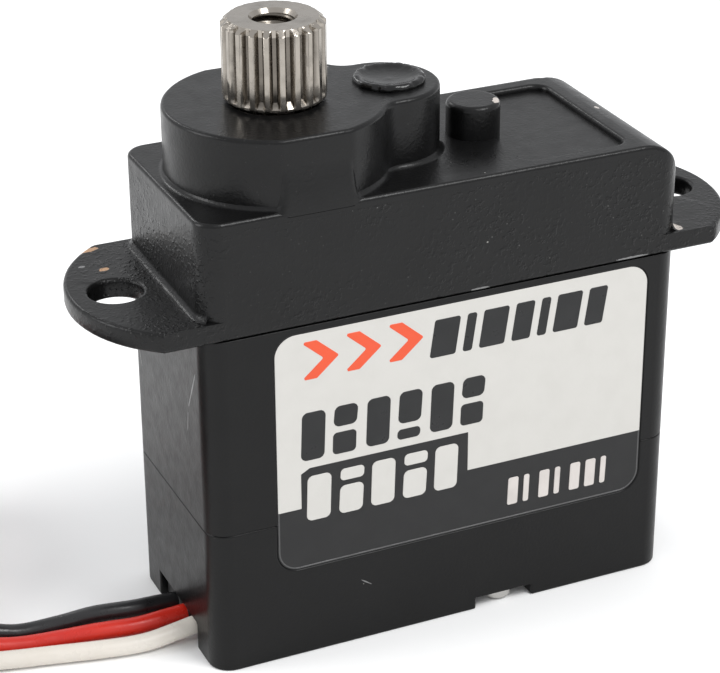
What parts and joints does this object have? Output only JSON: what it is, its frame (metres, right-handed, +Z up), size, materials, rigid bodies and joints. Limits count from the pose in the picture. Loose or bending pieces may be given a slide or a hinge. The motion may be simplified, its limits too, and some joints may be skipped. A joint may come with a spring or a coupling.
{
  "type": "servo motor",
  "caption": "Slim micro servo motor with metal gear train, splined output shaft, two mounting ears and a three-wire lead.",
  "frame": {"origin": "on the surface the servo stands on, under the middle of its case and ears", "axes": "+X along the case, away from the output shaft's end; +Y away from the label; +Z up along the output shaft"},
  "size_m": [0.0548, 0.0232, 0.0306],
  "materials": {
    "case_plastic": "fine-grained glass-filled nylon, black",
    "label_vinyl": "satin printed label, off-white over charcoal",
    "screw_steel": "zinc-plated steel",
    "shaft_steel": "satin nickel-plated steel",
    "gear_brass": "machined brass",
    "gear_steel": "machined steel",
    "bearing_steel": "ground steel",
    "bush_bronze": "sintered bronze",
    "magnet": "nickel-plated magnet",
    "winding_copper": "enamelled copper wire",
    "motor_steel": "drawn steel can",
    "motor_plastic": "moulded black plastic",
    "terminal_tin": "tinned copper",
    "pot_plastic": "moulded grey plastic",
    "pot_board": "brown resin board",
    "pot_wiper": "natural acetal",
    "circuit_board": "green solder mask on glass-epoxy",
    "chip_epoxy": "moulded epoxy",
    "capacitor_tan": "ceramic chip with tinned ends",
    "grommet_rubber": "soft black rubber",
    "wire_black": "glossy soft insulation, black",
    "wire_red": "glossy soft insulation, red",
    "wire_white": "glossy soft insulation, white",
    "tie_plastic": "thin black strap",
    "connector_plastic": "moulded black plastic",
    "contact_gold": "gold-plated spring contact"
  },
  "bodies": {
    "case": {"upper_case": "case_plastic", "middle_case": "case_plastic", "bottom_cover": "case_plastic", "label": "label_vinyl", "gear_shaft_cap": "case_plastic", "case_screws": "screw_steel", "bearing_outer_ring": "bearing_steel", "bearing_balls": "bearing_steel", "lower_bushing": "bush_bronze", "boss_shaft_pin": "bearing_steel", "post_shaft_pin": "bearing_steel", "motor_magnet": "magnet", "motor_can": "motor_steel", "motor_bushing": "bush_bronze", "motor_end_cap": "motor_plastic", "motor_terminals": "terminal_tin", "pot_case": "pot_plastic", "pot_base": "pot_board", "pot_terminals": "terminal_tin", "circuit_board": "circuit_board", "control_chip": "chip_epoxy", "driver_chips": "chip_epoxy", "capacitors": "capacitor_tan", "lead_tails": "terminal_tin", "wire_grommet": "grommet_rubber", "ground_wire": "wire_black", "power_wire": "wire_red", "signal_wire": "wire_white", "lead_coil": "wire_black", "lead_tie": "tie_plastic", "connector_housing": "connector_plastic", "connector_contacts": "contact_gold"},
    "motor_rotor": {"motor_shaft": "bearing_steel", "motor_pinion": "gear_brass", "motor_winding": "winding_copper"},
    "first_wheel": {"first_gear": "gear_brass"},
    "second_wheel": {"second_gear": "gear_brass"},
    "third_wheel": {"third_gear": "gear_brass"},
    "fourth_wheel": {"fourth_gear": "gear_steel"},
    "output": {"output_shaft": "shaft_steel", "output_gear": "gear_brass", "bearing_inner_ring": "bearing_steel", "pot_rotor": "pot_wiper"}
  },
  "joints": [
    {"name": "motor_turn", "type": "hinge", "parent": "case", "child": "motor_rotor", "pos_m": [0.0072, 0, 0.0176], "axis": [0, 0, 1], "range_deg": [-19054, 19054]},
    {"name": "first_wheel_turn", "type": "hinge", "parent": "case", "child": "first_wheel", "pos_m": [0.0036, 0, 0.0186], "axis": [0, 0, 1], "range_deg": [-5532.8, 5532.8]},
    {"name": "second_wheel_turn", "type": "hinge", "parent": "case", "child": "second_wheel", "pos_m": [-0.00115, 0, 0.0197], "axis": [0, 0, 1], "range_deg": [-1976.6, 1976.6]},
    {"name": "third_wheel_turn", "type": "hinge", "parent": "case", "child": "third_wheel", "pos_m": [0.0036, 0, 0.0208], "axis": [0, 0, 1], "range_deg": [-706.6, 706.6]},
    {"name": "fourth_wheel_turn", "type": "hinge", "parent": "case", "child": "fourth_wheel", "pos_m": [-0.00115, 0, 0.0218], "axis": [0, 0, 1], "range_deg": [-253, 253]},
    {"name": "output_turn", "type": "hinge", "parent": "case", "child": "output", "pos_m": [-0.0065, 0, 0.0231], "axis": [0, 0, 1], "range_deg": [-90, 90]}
  ],
  "couplings": [
    {"joint": "first_wheel_turn", "follows": "motor_turn", "ratio": -0.29032},
    {"joint": "second_wheel_turn", "follows": "motor_turn", "ratio": 0.10369},
    {"joint": "third_wheel_turn", "follows": "motor_turn", "ratio": -0.037031},
    {"joint": "fourth_wheel_turn", "follows": "motor_turn", "ratio": 0.013225},
    {"joint": "output_turn", "follows": "motor_turn", "ratio": -0.0047233}
  ]
}
